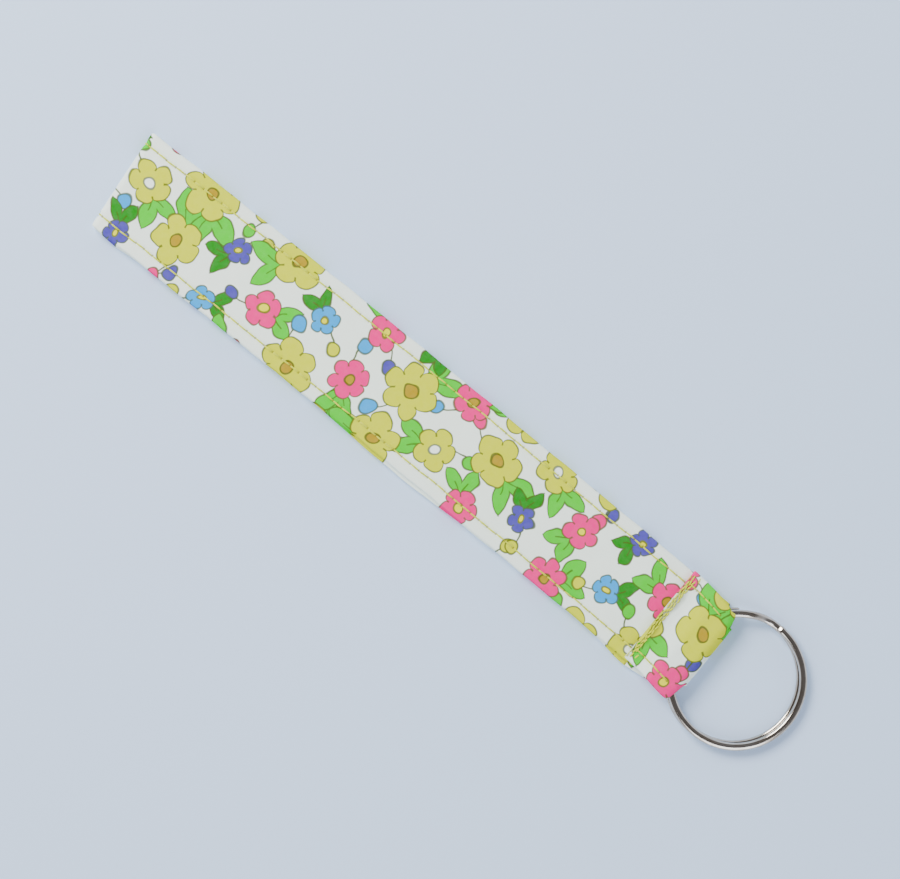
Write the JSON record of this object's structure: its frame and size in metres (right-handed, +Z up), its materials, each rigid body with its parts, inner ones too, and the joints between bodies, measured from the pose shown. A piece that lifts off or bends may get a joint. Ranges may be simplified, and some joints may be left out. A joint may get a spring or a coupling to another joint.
{
  "type": "wristlet keychain",
  "caption": "Flat sewn cotton wrist strap folded into a loop and cross-stitched near one end, where a steel split ring turns in a folded fabric tunnel.",
  "frame": {"origin": "on the surface it lies on, under the middle of the object's bounding box", "axes": "+X along the strap from the far fold to the split ring, +Y across the strap, +Z up out of the surface"},
  "size_m": [0.1952, 0.032, 0.0062],
  "materials": {
    "printed_cotton": "plain-weave cotton lawn with a printed flower pattern, matt",
    "interfacing": "bonded white fusible interfacing, matt",
    "thread": "twisted lime-yellow sewing thread, slight sheen",
    "ring_steel": "polished nickel-plated spring steel"
  },
  "bodies": {
    "tack": {"tab_end_cloth": "printed_cotton", "tab_end_interfacing": "interfacing", "tack_back_cloth": "printed_cotton", "tack_back_interfacing": "interfacing", "tack_back_seam_left": "thread", "tack_back_seam_right": "thread", "tack_front_end_cloth": "printed_cotton", "tack_front_end_interfacing": "interfacing", "tack_stitch_row_1": "thread", "tack_stitch_row_2": "thread", "tack_stitch_row_3": "thread"},
    "front_leg_1": {"front_leg_1_cloth": "printed_cotton", "front_leg_1_interfacing": "interfacing", "front_leg_1_seam_left": "thread", "front_leg_1_seam_right": "thread"},
    "front_leg_2": {"front_leg_2_cloth": "printed_cotton", "front_leg_2_interfacing": "interfacing", "front_leg_2_seam_left": "thread", "front_leg_2_seam_right": "thread"},
    "front_leg_3": {"front_leg_3_cloth": "printed_cotton", "front_leg_3_interfacing": "interfacing", "front_leg_3_seam_left": "thread", "front_leg_3_seam_right": "thread"},
    "front_leg_4": {"front_leg_4_cloth": "printed_cotton", "front_leg_4_interfacing": "interfacing", "front_leg_4_seam_left": "thread", "front_leg_4_seam_right": "thread"},
    "far_fold": {"far_fold_cloth": "printed_cotton", "far_fold_return_cloth": "printed_cotton", "far_fold_return_interfacing": "interfacing", "far_fold_return_seam_left": "thread", "far_fold_return_seam_right": "thread", "far_fold_seam_left": "thread", "far_fold_seam_right": "thread"},
    "back_leg_1": {"back_leg_1_cloth": "printed_cotton", "back_leg_1_interfacing": "interfacing", "back_leg_1_seam_left": "thread", "back_leg_1_seam_right": "thread"},
    "back_leg_2": {"back_leg_2_cloth": "printed_cotton", "back_leg_2_interfacing": "interfacing", "back_leg_2_seam_left": "thread", "back_leg_2_seam_right": "thread"},
    "back_leg_3": {"back_leg_3_cloth": "printed_cotton", "back_leg_3_interfacing": "interfacing", "back_leg_3_seam_left": "thread", "back_leg_3_seam_right": "thread"},
    "back_leg_4": {"back_leg_4_cloth": "printed_cotton", "back_leg_4_interfacing": "interfacing", "back_leg_4_seam_left": "thread", "back_leg_4_seam_right": "thread"},
    "ring_tunnel": {"ring_tunnel_cloth": "printed_cotton", "ring_tunnel_interfacing": "interfacing", "ring_tunnel_top_seam_left": "thread", "ring_tunnel_top_seam_right": "thread", "ring_tunnel_under_seam_left": "thread", "ring_tunnel_under_seam_right": "thread"},
    "split_ring": {"split_ring": "ring_steel"}
  },
  "joints": [
    {"name": "wrist_loop_open", "type": "hinge", "parent": "tack", "child": "front_leg_1", "pos_m": [0.0552, 0, 0.00145], "axis": [0, 1, 0], "range_deg": [0, 45]},
    {"name": "front_leg_bend_2", "type": "hinge", "parent": "front_leg_1", "child": "front_leg_2", "pos_m": [0.01736, 0, 0.00225], "axis": [0, -1, 0], "range_deg": [0, 30]},
    {"name": "front_leg_bend_3", "type": "hinge", "parent": "front_leg_2", "child": "front_leg_3", "pos_m": [-0.02048, 0, 0.00225], "axis": [0, -1, 0], "range_deg": [0, 30]},
    {"name": "front_leg_bend_4", "type": "hinge", "parent": "front_leg_3", "child": "front_leg_4", "pos_m": [-0.05831, 0, 0.00225], "axis": [0, -1, 0], "range_deg": [0, 30]},
    {"name": "far_fold_open", "type": "hinge", "parent": "front_leg_4", "child": "far_fold", "pos_m": [-0.09615, 0, 0.00145], "axis": [0, 1, 0], "range_deg": [0, 90], "deforming": ["far_fold_cloth", "far_fold_seam_left", "far_fold_seam_right"]},
    {"name": "back_leg_open", "type": "hinge", "parent": "tack", "child": "back_leg_1", "pos_m": [0.0552, 0, 0.00145], "axis": [0, -1, 0], "range_deg": [0, 45]},
    {"name": "back_leg_bend_2", "type": "hinge", "parent": "back_leg_1", "child": "back_leg_2", "pos_m": [0.01736, 0, 0.00065], "axis": [0, 1, 0], "range_deg": [0, 30]},
    {"name": "back_leg_bend_3", "type": "hinge", "parent": "back_leg_2", "child": "back_leg_3", "pos_m": [-0.02048, 0, 0.00065], "axis": [0, 1, 0], "range_deg": [0, 30]},
    {"name": "back_leg_bend_4", "type": "hinge", "parent": "back_leg_3", "child": "back_leg_4", "pos_m": [-0.05831, 0, 0.00065], "axis": [0, 1, 0], "range_deg": [0, 30]},
    {"name": "ring_swing", "type": "hinge", "parent": "tack", "child": "ring_tunnel", "pos_m": [0.0648, 0, 0.00225], "axis": [0, -1, 0], "range_deg": [-75, 75]},
    {"name": "ring_spin", "type": "hinge", "parent": "ring_tunnel", "child": "split_ring", "pos_m": [0.08155, 0, 0.00217], "axis": [0.0546, 0, 0.9985], "continuous": true}
  ],
  "couplings": [
    {"joint": "front_leg_bend_2", "follows": "wrist_loop_open", "ratio": 0.66667},
    {"joint": "front_leg_bend_3", "follows": "wrist_loop_open", "ratio": 0.66667},
    {"joint": "front_leg_bend_4", "follows": "wrist_loop_open", "ratio": 0.66667},
    {"joint": "far_fold_open", "follows": "wrist_loop_open", "ratio": 2},
    {"joint": "back_leg_open", "follows": "wrist_loop_open", "ratio": 1},
    {"joint": "back_leg_bend_2", "follows": "wrist_loop_open", "ratio": 0.66667},
    {"joint": "back_leg_bend_3", "follows": "wrist_loop_open", "ratio": 0.66667},
    {"joint": "back_leg_bend_4", "follows": "wrist_loop_open", "ratio": 0.66667}
  ]
}
